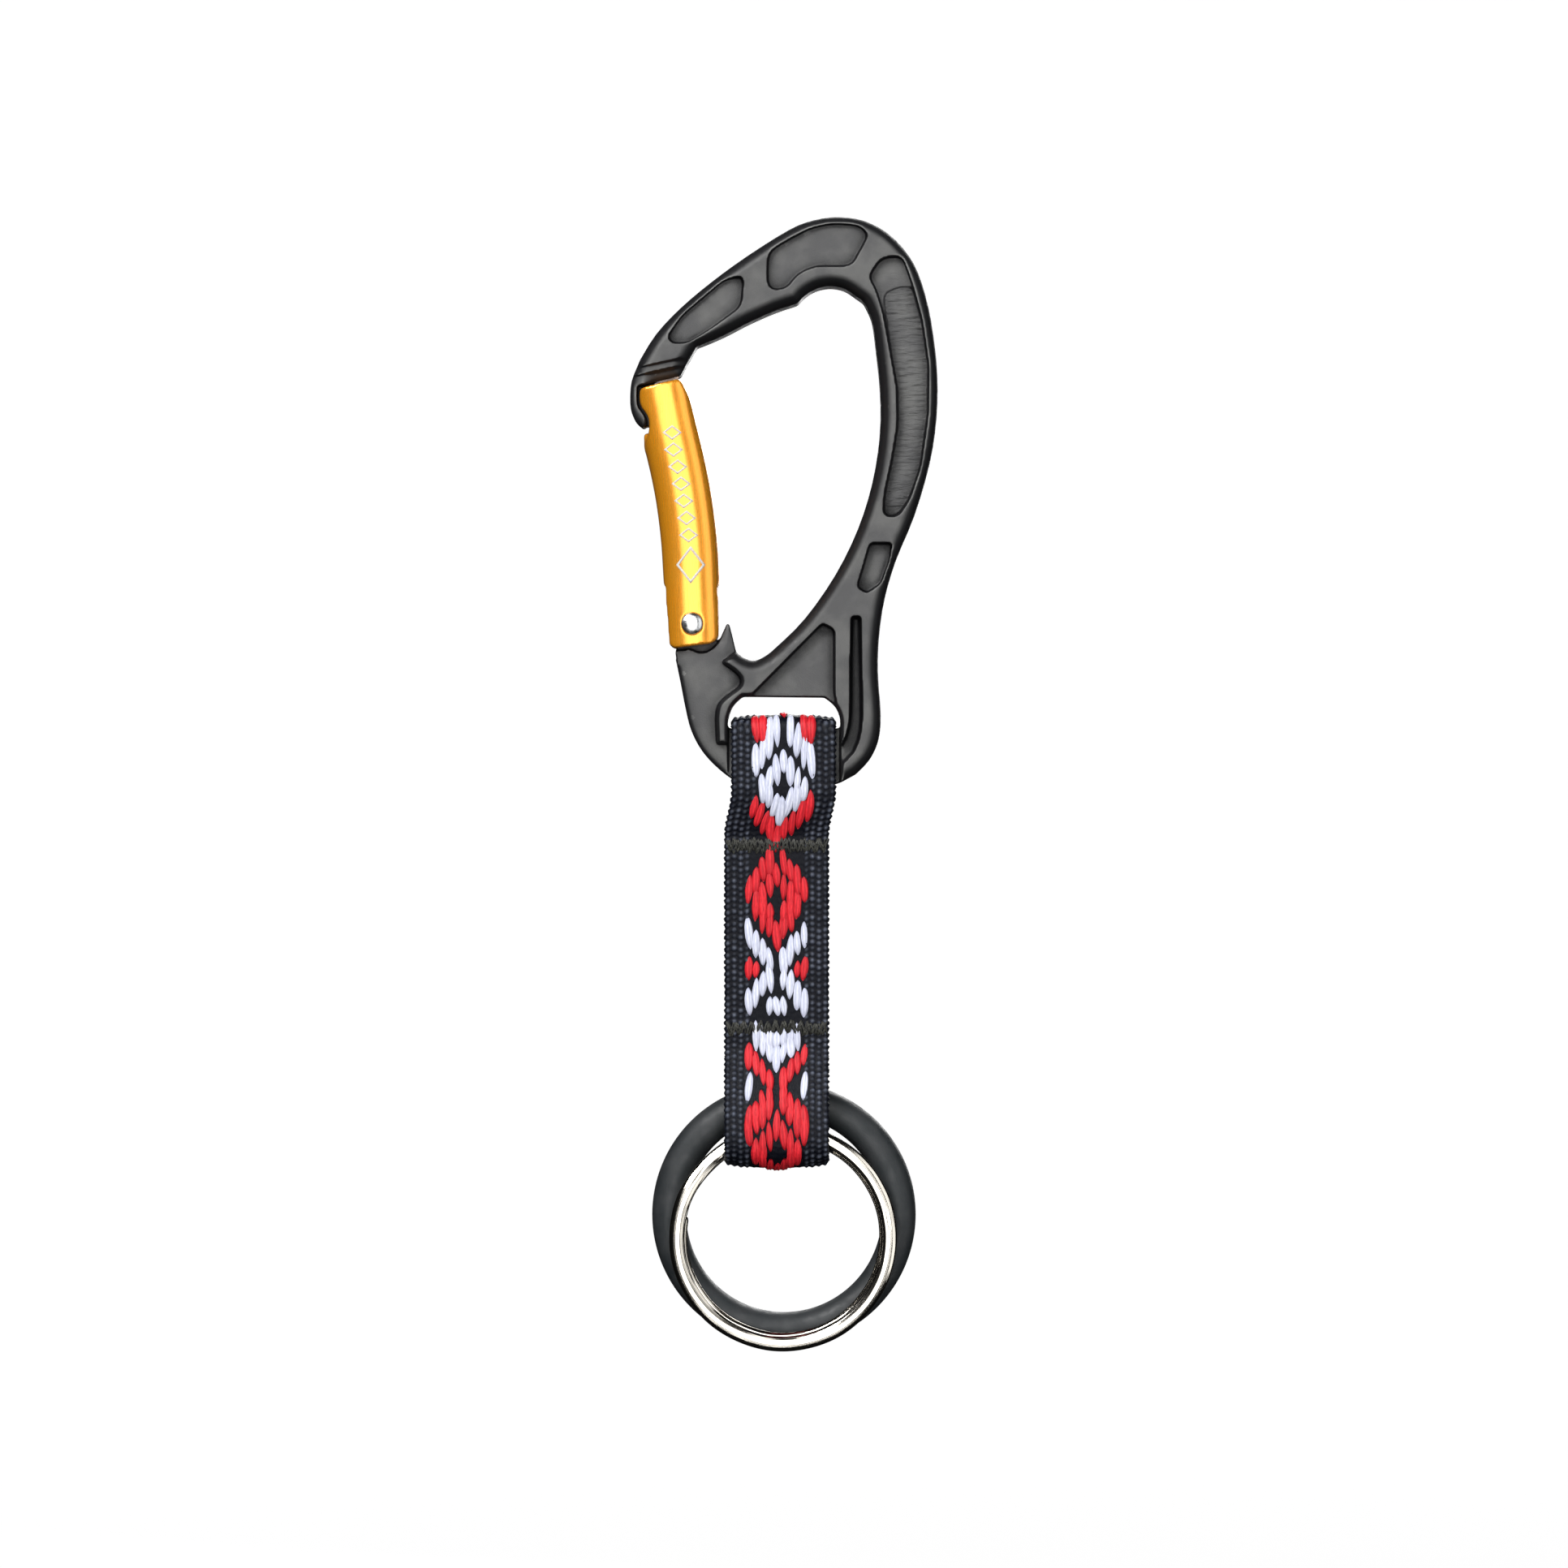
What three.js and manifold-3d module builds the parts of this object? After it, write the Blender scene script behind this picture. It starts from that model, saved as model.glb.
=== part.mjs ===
// Key-holder quickdraw: a forged accessory carabiner with a bent gate, a short sewn webbing sling,
// a rubber ring and a split key ring. Millimetres. +X is right, +Y is away from the viewer and +Z is up.
// The origin is the hang point, the highest point of the carabiner's opening.

import * as THREE from 'three';
import { mergeVertices } from 'three/addons/utils/BufferGeometryUtils.js';
import Module from 'manifold-3d';

const wasm = await Module();
wasm.setup();

// ---- driving dimensions -------------------------------------------------------------------------

const GAP = 0.3;                 // clearance between neighbouring pieces

const BEAM_THICKNESS = 6.6;      // carabiner across its raised rims
const BEAM_ROUND = { across: 0.55, deep: 0.9 };    // edge rounding of the rims
const PLATE_THICKNESS = 4.0;     // heel plate
const PLATE_ROUND = { across: 0.6, deep: 0.7 };
const SHARP = { across: 0, deep: 0 };
const POCKET_DEPTH = 0.8;        // weight-saving pockets, each side
const DEEP_POCKET_DEPTH = 1.05;  // below the step in the spine pocket, and the pocket at the spine's root
const WEB_DEPTH = 1.2;           // triangular web above the sling slot, each side
const GROOVE_ROUND = { across: 0.4, deep: 0.9 };   // sloping walls of the groove beside the slot's rib
const NOSE_THICKNESS = 5.0;      // nose hook and the seat above the gate
const TONGUE_THICKNESS = 2.2;    // the nose's middle, which the gate's top closes over
const TONGUE_RIGHT = -21.6;
const TONGUE_BOTTOM = -17.2;
const LEDGE_TOP = -17.9;         // where the gate's middle starts again, below the tongue
const BAR_THICKNESS = 3.2;       // bar that the sling wraps
const BAR_TOP = -54.3;
const BAR_LEFT = -12.5;
const BAR_RIGHT = 1.35;
const BODY_BOTTOM = -61.9;

const PIVOT = { x: -16.85, z: -41.5 };   // gate rivet
const GATE_HALF_WIDTH = 3.6;
const GATE_SQUARENESS = 2.5;     // exponent of the bar's rounded section; 2 is an ellipse
const GATE_THICKNESS = 6.4;
const TANG_TOP = -38.5;
const TANG_HALF_WIDTH = 1.95;
const TANG_THICKNESS = 2.6;
const GATE_SWING = 28;           // degrees, from shut to open
const GATE_SLOT_WIDTH = TANG_THICKNESS + 2 * GAP;
const GATE_SLOT_TOP = -36.9;
const BORE_RADIUS = 1.3;
const BORE_TOP = -27.0;
const PLUNGER_TOP = -34.5;
const PLUNGER_STROKE = 0.6;      // up the bore as the gate opens; the spring leaves room for it
const RIVET_RADIUS = 0.8;
const RIVET_HEAD_RADIUS = 1.35;
const RIVET_HEAD_HEIGHT = 0.55;

const STRAP_THICKNESS = 1.0;
const TOP_STRAP = { width: 12.8, centre: -5.65 };
const SLING = { width: 13.0, centre: -6.5 };
const PLY_CENTRE = 0.7;          // distance of each ply's middle plane from the sling's middle
const NECK_END = -65.15;         // lower end of the loop round the bar
const SLING_START = -67.45;      // upper end of the sewn plies; the sling swings about the point between
const SLING_END = -92.3;
const TACK_HEIGHT = 1.6;
const UPPER_TACK = -68.7;
const LOWER_TACK = -91.2;

const RUBBER_RING = { x: -5.6, y: 2.45, z: -114.4, radius: 14.15, tube: 2.15 };
const SPLIT_RING = { x: -5.7, y: -1.4, z: -116.8, inner: 12.1, outer: 14.0, wire: 1.2, lift: 0.7 };

// ---- geometry helpers ---------------------------------------------------------------------------

const vectors = list => list.map(([x, z]) => new THREE.Vector2(x, z));

// Points along a smooth curve through the given places.
function smooth(list, stepsPerSpan = 3) {
  return new THREE.SplineCurve(vectors(list)).getPoints(stepsPerSpan * (list.length - 1));
}

// A polygon whose corners are rounded off, each by at most the given reach along its sides.
function roundedPolygon(list, reach, steps = 3) {
  const corners = vectors(list);
  const outline = [];
  corners.forEach((corner, i) => {
    const before = corners[(i + corners.length - 1) % corners.length];
    const after = corners[(i + 1) % corners.length];
    const cut = Math.min(reach, 0.5 * corner.distanceTo(before), 0.5 * corner.distanceTo(after));
    const start = corner.clone().lerp(before, cut / corner.distanceTo(before));
    const end = corner.clone().lerp(after, cut / corner.distanceTo(after));
    outline.push(...new THREE.QuadraticBezierCurve(start, corner, end).getPoints(steps));
  });
  return outline;
}

// Neighbouring points closer than this are one point.
const MIN_STEP = 0.02;
const withoutRepeats = outline =>
  outline.filter((p, i) => p.distanceTo(outline[(i + outline.length - 1) % outline.length]) > MIN_STEP);

// A plate standing in the XZ plane, its thickness along Y, with rounded edges when round is given.
function plate(outline, thickness, round = SHARP, middleY = 0) {
  const geometry = new THREE.ExtrudeGeometry(new THREE.Shape(withoutRepeats(outline)), {
    depth: thickness - 2 * round.deep,
    bevelEnabled: round.deep > 0,
    bevelThickness: round.deep,
    bevelSize: round.across,
    bevelOffset: -round.across,
    bevelSegments: 3,
    steps: 1,
  });
  geometry.rotateX(Math.PI / 2);
  geometry.translate(0, middleY + thickness / 2 - round.deep, 0);
  return geometry;
}

// A bar whose section lies in the YZ plane, running along X.
function barAlongX(section, width, centreX) {
  const geometry = new THREE.ExtrudeGeometry(new THREE.Shape(withoutRepeats(section)), {
    depth: width,
    bevelEnabled: false,
    steps: 1,
  });
  geometry.translate(0, 0, -width / 2);
  const turn = new THREE.Matrix4().set(0, 0, 1, centreX, 1, 0, 0, 0, 0, 1, 0, 0, 0, 0, 0, 1);
  return geometry.applyMatrix4(turn);
}

// The section of a strap of constant thickness that follows a path in the YZ plane.
function strapSection(path, thickness) {
  const offset = side => path.map((p, i) => {
    const along = path[Math.min(i + 1, path.length - 1)].clone().sub(path[Math.max(i - 1, 0)]).normalize();
    return new THREE.Vector2(p.x - along.y * side, p.y + along.x * side);
  });
  return [...offset(thickness / 2), ...offset(-thickness / 2).reverse()];
}

function box(width, depth, height, x, y, z) {
  return new THREE.BoxGeometry(width, depth, height).translate(x, y, z);
}

function solidOf(geometry) {
  const bare = geometry.clone();
  bare.deleteAttribute('normal');
  bare.deleteAttribute('uv');
  const merged = mergeVertices(bare, 1e-4);
  return new wasm.Manifold(new wasm.Mesh({
    numProp: 3,
    vertProperties: Float32Array.from(merged.attributes.position.array),
    triVerts: Uint32Array.from(merged.index.array),
  }));
}

function geometryOf(solid) {
  const mesh = solid.getMesh();
  const geometry = new THREE.BufferGeometry();
  geometry.setAttribute('position', new THREE.BufferAttribute(Float32Array.from(mesh.vertProperties), 3));
  geometry.setIndex(new THREE.BufferAttribute(Uint32Array.from(mesh.triVerts), 1));
  geometry.computeVertexNormals();
  return geometry;
}

const join = (...geometries) => geometries.map(solidOf).reduce((sum, solid) => sum.add(solid));
const cut = (solid, ...geometries) =>
  geometries.reduce((rest, geometry) => rest.subtract(solidOf(geometry)), solid);

// ---- materials ----------------------------------------------------------------------------------

const material = (color, roughness, metalness) =>
  new THREE.MeshStandardMaterial({ color, roughness, metalness });
const blackAluminium = material(0x3f4142, 0.45, 0.5);
const goldAluminium = material(0xe69a1c, 0.3, 0.9);
const steel = material(0xc9ccd0, 0.25, 1);
const nickel = material(0xd2cfc8, 0.18, 1);
const webbing = material(0x1d2433, 0.9, 0);
const thread = material(0x14161c, 0.85, 0);
const rubber = material(0x282c30, 0.6, 0);

const object = new THREE.Group();

function addPiece(name, geometry, look) {
  const mesh = new THREE.Mesh(geometry, look);
  mesh.name = name;
  object.add(mesh);
}

// ---- carabiner body -----------------------------------------------------------------------------

// Outside edge from the nose's shoulder over the top, down the spine and round the heel.
const outsideEdge = [...vectors([[-24.1, -11.0]]), ...smooth([
  [-23.3, -9.1], [-21.3, -5.9], [-18.3, -2.7], [-14.5, 0.5], [-10.1, 3.7], [-5.0, 6.9],
  [-2.0, 8.1], [1.2, 8.5], [4.4, 8.0], [7.3, 6.4], [9.8, 3.7], [11.3, 0.5], [12.5, -4.3], [13.25, -10.7],
  [13.15, -16.3], [12.3, -21.9], [10.4, -28.3], [8.2, -33.6], [6.8, -38.3], [6.1, -43.0], [5.95, -47.5],
  [6.3, -52.6], [6.0, -55.8], [4.9, -58.2], [3.2, -60.0],
]), ...vectors([[BAR_RIGHT, -61.0]])];

// Edge of the opening from the nose over the rope bed, down the spine to the bottom of the opening.
const openingEdge = [
  ...vectors([[-18.3, -11.0], [-17.4, -9.3], [-16.3, -7.4]]),
  ...smooth([[-15.2, -7.0], [-12.7, -5.9], [-9.8, -4.4], [-6.6, -3.0], [-3.9, -2.1]]),
  ...smooth([[-3.2, -1.3], [-1.8, -0.4], [0, 0], [1.8, -0.3], [3.2, -1.2]]),
  ...smooth([[4.2, -1.9], [5.2, -4.1], [5.7, -7.5], [6.25, -13.0], [6.2, -18.3], [5.3, -24.0], [3.5, -29.8],
    [0.7, -35.5], [-3.0, -40.8], [-6.5, -44.3], [-8.0, -45.5], [-9.3, -46.0],
    [-10.6, -45.6], [-11.5, -44.9]]),
];

// The slot that takes the sling: rounded shoulders at its top, full strap width above the bar.
const slotLeft = [[BAR_LEFT, BAR_TOP], [-12.45, -53.2], [-11.9, -51.6], [-10.7, -50.4]];
const slotRight = [[-0.6, -50.5], [0.7, -51.6], [1.3, -53.0], [BAR_RIGHT, BAR_TOP]];
const slotEdge = [...smooth(slotLeft), ...smooth(slotRight)];

// Left side of the raised rib that frames the slot, from the bar up to the rib's point.
const ribEdge = [...vectors([[BAR_LEFT, -56.2], [-13.8, -56.2]]), ...smooth([
  [-13.9, -54.2], [-13.9, -52.6], [-13.5, -51.2], [-12.3, -50.1], [-11.1, -49.2],
  [-10.9, -48.2], [-11.8, -47.2],
]), ...vectors([[-13.2, -46.2]])];

// Heel, below the rib and bar, from the lower right round to the gate.
const heelEdge = smooth([
  [BAR_RIGHT, -61.0], [-0.5, -61.5], [-3.8, BODY_BOTTOM], [-7.4, BODY_BOTTOM], [-10.8, -61.2], [-13.4, -59.5],
  [-15.6, -57.2], [-17.0, -54.6], [-17.7, -51.9], [-18.3, -48.8], [-18.9, -45.9],
]);

function beam() {
  const outline = [
    ...outsideEdge,
    ...vectors([[BAR_RIGHT, BAR_TOP]]),
    ...[...slotEdge].reverse(),
    ...ribEdge,
    ...[...openingEdge].reverse(),
    ...vectors([[-23.0, -12.2]]),
  ];
  return plate(outline, BEAM_THICKNESS, BEAM_ROUND);
}

function heelPlate() {
  const outline = [
    ...heelEdge,
    ...vectors([[-17.6, -44.2], [-14.2, -44.2], [-11.2, -46.6], [-9.6, -48.6]]),
    ...smooth([...slotLeft].reverse()),
    ...vectors([[BAR_RIGHT, BAR_TOP], [1.3, -53.0], [3.4, -52.6], [3.6, -58.8]]),
  ];
  return plate(outline, PLATE_THICKNESS, PLATE_ROUND);
}

// The tang inside the gate, and the small spur beside it that stops the gate when it is open.
function tangAndSpur() {
  const left = PIVOT.x - TANG_HALF_WIDTH;
  const right = PIVOT.x + TANG_HALF_WIDTH;
  const outline = vectors([
    [-18.7, -46.6], [-18.95, -45.0], [left, -44.2], [left, TANG_TOP], [right, TANG_TOP], [right, -43.4],
    [-13.5, -43.4], [-12.65, -41.5], [-12.35, -41.4], [-12.0, -42.7], [-11.4, -45.2], [-10.6, -46.6],
  ]);
  return plate(outline, PLATE_THICKNESS);
}

// The hook that reaches down outside the gate's top and turns in below its shoulder.
function noseHook() {
  const outer = smooth([
    [-23.4, -9.4], [-24.3, -11.6], [-24.5, -13.8], [-24.35, -15.4], [-23.8, -16.6], [-22.9, -17.4],
  ]);
  const inner = smooth([[-22.55, -17.2], [-22.5, -16.5], [-22.9, -15.7], [-23.5, -14.9], [-23.65, -14.0]]);
  const seat = vectors([[-23.65, -12.3], [-18.5, -11.1], [-17.9, -10.2], [-17.4, -9.2]]);
  return plate([...outer, ...inner, ...seat], NOSE_THICKNESS);
}

// The tongue in the hook's middle, which keeps the gate from moving sideways.
function noseTongue() {
  const outline = vectors([
    [-24.0, -12.0], [TONGUE_RIGHT, -12.0], [TONGUE_RIGHT, TONGUE_BOTTOM + 0.5], [-22.1, TONGUE_BOTTOM],
    [-23.0, TONGUE_BOTTOM], [-23.9, -15.4],
  ]);
  return plate(outline, TONGUE_THICKNESS);
}

// Both faces are cut alike, to the same depth below the beam's faces.
function bothFaces(outline, depth, round = SHARP) {
  const reach = depth + 1;
  const middle = BEAM_THICKNESS / 2 - depth + reach / 2;
  return [plate(outline, reach, round, middle), plate(outline, reach, round, -middle)];
}

const pockets = {
  arm: [[-19.9, -6.3], [-18.1, -3.7], [-12.9, 0.7], [-10.5, 1.2], [-10.8, -2.6], [-14.4, -5.3], [-17.6, -7.2],
    [-19.4, -7.1]],
  crown: [[-7.7, 1.4], [-7.5, 4.1], [-5.6, 5.3], [-2.4, 7.0], [0.5, 7.6], [3.7, 7.3], [4.8, 6.2], [2.7, 2.3],
    [-1.8, 2.3], [-4.0, 1.3], [-5.3, -0.5], [-7.5, -0.6]],
  spine: [[4.7, 1.0], [6.3, 3.4], [8.9, 3.6], [10.2, 0.0], [11.4, -4.4], [12.2, -10.0], [12.1, -16.0],
    [11.2, -22.3], [9.8, -26.4], [8.3, -28.5], [6.5, -28.3], [6.7, -25.4], [7.6, -21.3], [8.3, -17.0],
    [8.2, -12.6], [7.4, -8.2], [6.4, -3.0], [5.6, -0.4]],
};
const rootPocket = [
  [4.9, -31.6], [7.7, -31.6], [7.3, -33.8], [6.3, -36.6], [4.5, -37.8], [3.3, -37.0], [4.1, -34.4],
];

// Between the slot's rib and the outer band, running out into the bar's recess.
const groove = [
  ...smooth([[2.65, -40.6], [2.5, -46.0], [2.5, -51.0], [2.3, -54.0], [1.5, -56.2], [0.2, -57.6]], 2),
  ...smooth([[1.2, -59.0], [3.0, -57.2], [3.9, -54.4], [4.0, -51.0], [3.9, -46.0], [3.8, -40.6]], 2),
];

// A step in the floor near the top of the spine pocket, deeper below the step.
const spineStep = [
  [6.5, -1.0], [8.4, -0.1], [10.2, 0.0], [11.4, -4.4], [12.2, -10.0], [12.1, -16.0], [11.2, -22.3], [9.8, -26.4],
  [8.3, -28.5], [6.5, -28.3], [6.7, -25.4], [7.6, -21.3], [8.3, -17.0], [8.2, -12.6], [7.4, -8.2],
];

// The web fills the triangle between the diagonal rib, the upright rib and the slot.
const webPocket = [[-0.9, -41.4], [0.6, -42.2], [0.6, -49.8], [0.9, -51.6], [-0.6, -51.4], [-10.2, -51.2],
  [-9.6, -50.2]];

function carabinerBody() {
  const blank = join(beam(), heelPlate(), tangAndSpur(), noseHook(), noseTongue());
  const cutters = [
    ...Object.values(pockets).flatMap(outline => bothFaces(roundedPolygon(outline, 1.0), POCKET_DEPTH)),
    ...bothFaces(roundedPolygon(spineStep, 0.9), DEEP_POCKET_DEPTH),
    ...bothFaces(roundedPolygon(rootPocket, 0.5), DEEP_POCKET_DEPTH),
    ...bothFaces(roundedPolygon(webPocket, 0.5), WEB_DEPTH),
    ...bothFaces(groove, WEB_DEPTH, GROOVE_ROUND),
    ...barRecess(),
    ...seatFacet(),
    ...gateRelief(),
    rivetHole(),
  ];
  return geometryOf(cut(blank, ...cutters));
}

// The bar is thinner than the plate, so the strap lies between the rib and the outer band.
function barRecess() {
  const reach = 3;
  const width = BAR_RIGHT - BAR_LEFT;
  const height = 9;
  const middle = BAR_THICKNESS / 2 + reach / 2;
  const centreX = (BAR_LEFT + BAR_RIGHT) / 2;
  return [middle, -middle].map(y => box(width, reach, height, centreX, y, BAR_TOP - height / 2 + 0.2));
}

// The nose thins in two steps to where the gate shuts against it.
function seatFacet() {
  const depth = (BEAM_THICKNESS - NOSE_THICKNESS) / 2;
  const step = (rise, share) => bothFaces(vectors([
    [-25, -12.6], [-25, -11.3 + rise], [-23.4, -11.0 + rise], [-18.3, -9.9 + rise], [-16.0, -9.9 + rise],
    [-18, -12.6],
  ]), share * depth);
  return [...step(0, 1), ...step(0.9, 0.5)];
}

// The heel is thinned to the tang wherever the gate's cheeks pass between shut and open.
function gateRelief() {
  const reach = 3;
  const middle = TANG_THICKNESS / 2 + reach / 2;
  const positions = 5;
  const pivot = new THREE.Vector2(PIVOT.x, PIVOT.z);
  const lowerEnd = vectors([[-20.7, -37.2], [-13.1, -37.2], [-13.2, -41.0], [-13.3, -43.0], [-13.65, -43.75],
    [-14.5, -44.25], [-19.1, -44.85], [-20.0, -44.4], [-20.2, -41.1]]);
  return Array.from({ length: positions }, (_, i) => {
    const angle = -THREE.MathUtils.degToRad(GATE_SWING * i / (positions - 1));
    const turned = lowerEnd.map(point => point.clone().rotateAround(pivot, angle));
    return [plate(turned, reach, SHARP, middle), plate(turned, reach, SHARP, -middle)];
  }).flat();
}

function rivetHole() {
  const hole = new THREE.CylinderGeometry(RIVET_RADIUS + GAP, RIVET_RADIUS + GAP, BEAM_THICKNESS + 2, 20);
  return hole.translate(PIVOT.x, 0, PIVOT.z);
}

// ---- gate ---------------------------------------------------------------------------------------

// Superellipse, a circle pressed slightly square.
function barSection(halfWidth, squareness, sides) {
  const power = value => Math.sign(value) * Math.abs(value) ** (2 / squareness);
  const outline = Array.from({ length: sides }, (_, i) => {
    const angle = 2 * Math.PI * i / sides;
    return new THREE.Vector2(halfWidth * power(Math.cos(angle)), halfWidth * power(Math.sin(angle)));
  });
  return new THREE.Shape(outline);
}

// Bar of rounded section, bent towards the opening.
function gateBar() {
  const middle = [[-21.6, -9.0], [-20.6, -12.6], [-19.7, -17.2], [-18.6, -22.0], [-17.7, -27.2],
    [-17.15, -32.5], [-16.95, -37.5], [-16.75, -42.0], [-16.55, -47.0]];
  const path = new THREE.CatmullRomCurve3(middle.map(([x, z]) => new THREE.Vector3(x, 0, z)));
  const section = barSection(GATE_HALF_WIDTH, GATE_SQUARENESS, 24);
  const bar = new THREE.ExtrudeGeometry(section, { steps: 20, extrudePath: path });
  return bar.scale(1, GATE_THICKNESS / (2 * GATE_HALF_WIDTH), 1);
}

// Seen from the front: square ends, and the notch on the outer side that the nose hook drops into.
function gateOutline() {
  const top = vectors([[-23.35, -12.9], [-23.1, -12.55], [-18.6, -11.45], [-18.25, -11.6]]);
  const openingSide = smooth([[-17.8, -12.4], [-17.1, -14.0], [-16.3, -17.1], [-15.5, -20.3], [-14.6, -24.6],
    [-13.9, -29.6], [-13.5, -34.0], [-13.4, -36.4]]);
  const lowerEnd = vectors([[-13.6, -36.6], [-13.5, -41.0], [-13.6, -42.9], [-13.9, -43.5], [-14.6, -43.95],
    [-19.1, -44.5], [-19.7, -44.1]]);
  const outerSide = smooth([[-19.9, -41.1], [-20.4, -36.3], [-20.7, -31.6], [-21.3, -26.7], [-22.1, -22.6],
    [-22.9, -19.5]]);
  const notch = smooth([[-22.5, -18.9], [-22.2, -17.9], [-22.15, -16.6], [-22.5, -15.7], [-23.1, -14.9],
    [-23.35, -14.1]]);
  return [...top, ...openingSide, ...lowerEnd, ...outerSide, ...notch];
}

// The slot in the gate's top that closes over the nose's tongue, open above and on the outer side.
function tongueSlot() {
  const width = 5;
  const height = 8;
  const right = TONGUE_RIGHT + GAP;
  return box(width, TONGUE_THICKNESS + 2 * GAP, height, right - width / 2, 0, LEDGE_TOP + height / 2);
}

// Below the tongue the gate's middle reaches out past the notch in its cheeks.
function ledge() {
  const outline = vectors([[-22.85, LEDGE_TOP - 0.15], [-21.5, LEDGE_TOP], [-21.5, -20.2], [-22.75, -20.2]]);
  return solidOf(plate(outline, TONGUE_THICKNESS));
}

function gate() {
  const bar = solidOf(gateBar()).intersect(solidOf(plate(gateOutline(), GATE_THICKNESS + 2))).add(ledge());
  const slotHeight = 12;
  const slot = box(10, GATE_SLOT_WIDTH, slotHeight, PIVOT.x, 0, GATE_SLOT_TOP - slotHeight / 2);
  const boreLength = BORE_TOP - GATE_SLOT_TOP + 1;
  const bore = new THREE.CylinderGeometry(BORE_RADIUS, BORE_RADIUS, boreLength, 16)
    .rotateX(Math.PI / 2)
    .translate(PIVOT.x, 0, BORE_TOP - boreLength / 2);
  return geometryOf(cut(bar, slot, bore, tongueSlot(), rivetHole()));
}

// Shank through the cheeks and the tang, with a low domed head each side.
function gateRivet() {
  const under = GATE_THICKNESS / 2 + GAP;
  const dome = smooth([[0, under + RIVET_HEAD_HEIGHT], [0.75, under + 0.78 * RIVET_HEAD_HEIGHT],
    [1.2, under + 0.35 * RIVET_HEAD_HEIGHT], [RIVET_HEAD_RADIUS, under]]);
  const profile = [
    ...dome.map(p => new THREE.Vector2(p.x, -p.y)),
    ...vectors([[RIVET_RADIUS, -under], [RIVET_RADIUS, under]]),
    ...dome.reverse(),
  ];
  return new THREE.LatheGeometry(profile, 20).translate(PIVOT.x, 0, PIVOT.z);
}

function gatePlunger() {
  const bottom = TANG_TOP + GAP;
  const profile = vectors([
    [0, bottom], [0.75, bottom], [1.0, bottom + 0.25], [1.0, PLUNGER_TOP], [0, PLUNGER_TOP],
  ]);
  return new THREE.LatheGeometry(profile, 16).rotateX(Math.PI / 2).translate(PIVOT.x, 0, 0);
}

class Helix extends THREE.Curve {
  constructor(radius, bottom, top, turns) {
    super();
    Object.assign(this, { radius, bottom, top, turns });
  }

  getPoint(t, target = new THREE.Vector3()) {
    const angle = 2 * Math.PI * this.turns * t;
    const height = THREE.MathUtils.lerp(this.bottom, this.top, t);
    return target.set(this.radius * Math.cos(angle), this.radius * Math.sin(angle), height);
  }
}

function gateSpring() {
  const wireRadius = 0.16;
  const turns = 7;
  const bottom = PLUNGER_TOP + PLUNGER_STROKE + GAP + wireRadius;
  const path = new Helix(0.8, bottom, BORE_TOP - GAP - wireRadius, turns);
  const section = new THREE.Shape().absarc(0, 0, wireRadius, 0, 2 * Math.PI);
  const coil = new THREE.ExtrudeGeometry(section, { steps: 10 * turns, curveSegments: 3, extrudePath: path });
  return coil.translate(PIVOT.x, 0, 0);
}

// ---- webbing sling ------------------------------------------------------------------------------

const strap = (path, place) => barAlongX(strapSection(path, STRAP_THICKNESS), place.width, place.centre);

// Up in front of the bar, back over it and down behind it, closing to two plies below the heel.
function slingTopLoop() {
  const side = BAR_THICKNESS / 2 + GAP + STRAP_THICKNESS / 2;
  const over = BAR_TOP + GAP + STRAP_THICKNESS / 2;
  const turn = 1.1;
  const half = [
    ...vectors([[PLY_CENTRE, NECK_END], [PLY_CENTRE, NECK_END + 0.3]]),
    ...smooth([[side - 0.1, BODY_BOTTOM - GAP], [side, BODY_BOTTOM + 0.6]]),
    ...new THREE.QuadraticBezierCurve(
      new THREE.Vector2(side, over - turn),
      new THREE.Vector2(side, over),
      new THREE.Vector2(side - turn, over),
    ).getPoints(5),
  ];
  const front = half.map(p => new THREE.Vector2(-p.x, p.y));
  return strap([...front, ...half.reverse()], TOP_STRAP);
}

function slingPly(side) {
  const y = side * PLY_CENTRE;
  const length = SLING_START - SLING_END;
  const round = 0.4;
  const top = SLING_START;
  const near = y - STRAP_THICKNESS / 2;
  const far = y + STRAP_THICKNESS / 2;
  const corners = [[near, top], [far, top], [far, top - length], [near, top - length]];
  return barAlongX(roundedPolygon(corners, round, 3), SLING.width, SLING.centre);
}

// Round both rings: nearly straight in front of the split ring, bulging behind the rubber ring.
function slingRingLoop() {
  const start = SLING_END - GAP;
  const path = smooth([
    [-PLY_CENTRE, start], [-0.9, -94.2], [-2.4, -97.6], [-4.1, -101.4], [-4.65, -104.8], [-3.9, -107.2],
    [-1.6, -108.15], [1.3, -107.6], [4.1, -106.0], [5.9, -103.5], [6.1, -100.8], [4.7, -97.9], [2.4, -95.4],
    [0.9, -94.0], [PLY_CENTRE, start],
  ], 3);
  return strap(path, SLING);
}

// Zigzag stitching across the full width, drawn as the band of thread that it makes round both plies.
function barTack(z) {
  const clearance = 0.15;
  const build = 0.3;
  const innerWidth = SLING.width + 2 * clearance;
  const innerDepth = 2 * PLY_CENTRE + STRAP_THICKNESS + 2 * clearance;
  const band = solidOf(box(innerWidth + 2 * build, innerDepth + 2 * build, TACK_HEIGHT, SLING.centre, 0, z));
  return geometryOf(cut(band, box(innerWidth, innerDepth, TACK_HEIGHT + 1, SLING.centre, 0, z)));
}

// ---- rings --------------------------------------------------------------------------------------

function rubberRing() {
  return new THREE.TorusGeometry(RUBBER_RING.radius, RUBBER_RING.tube, 14, 48)
    .rotateX(Math.PI / 2)
    .translate(RUBBER_RING.x, RUBBER_RING.y, RUBBER_RING.z);
}

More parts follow.
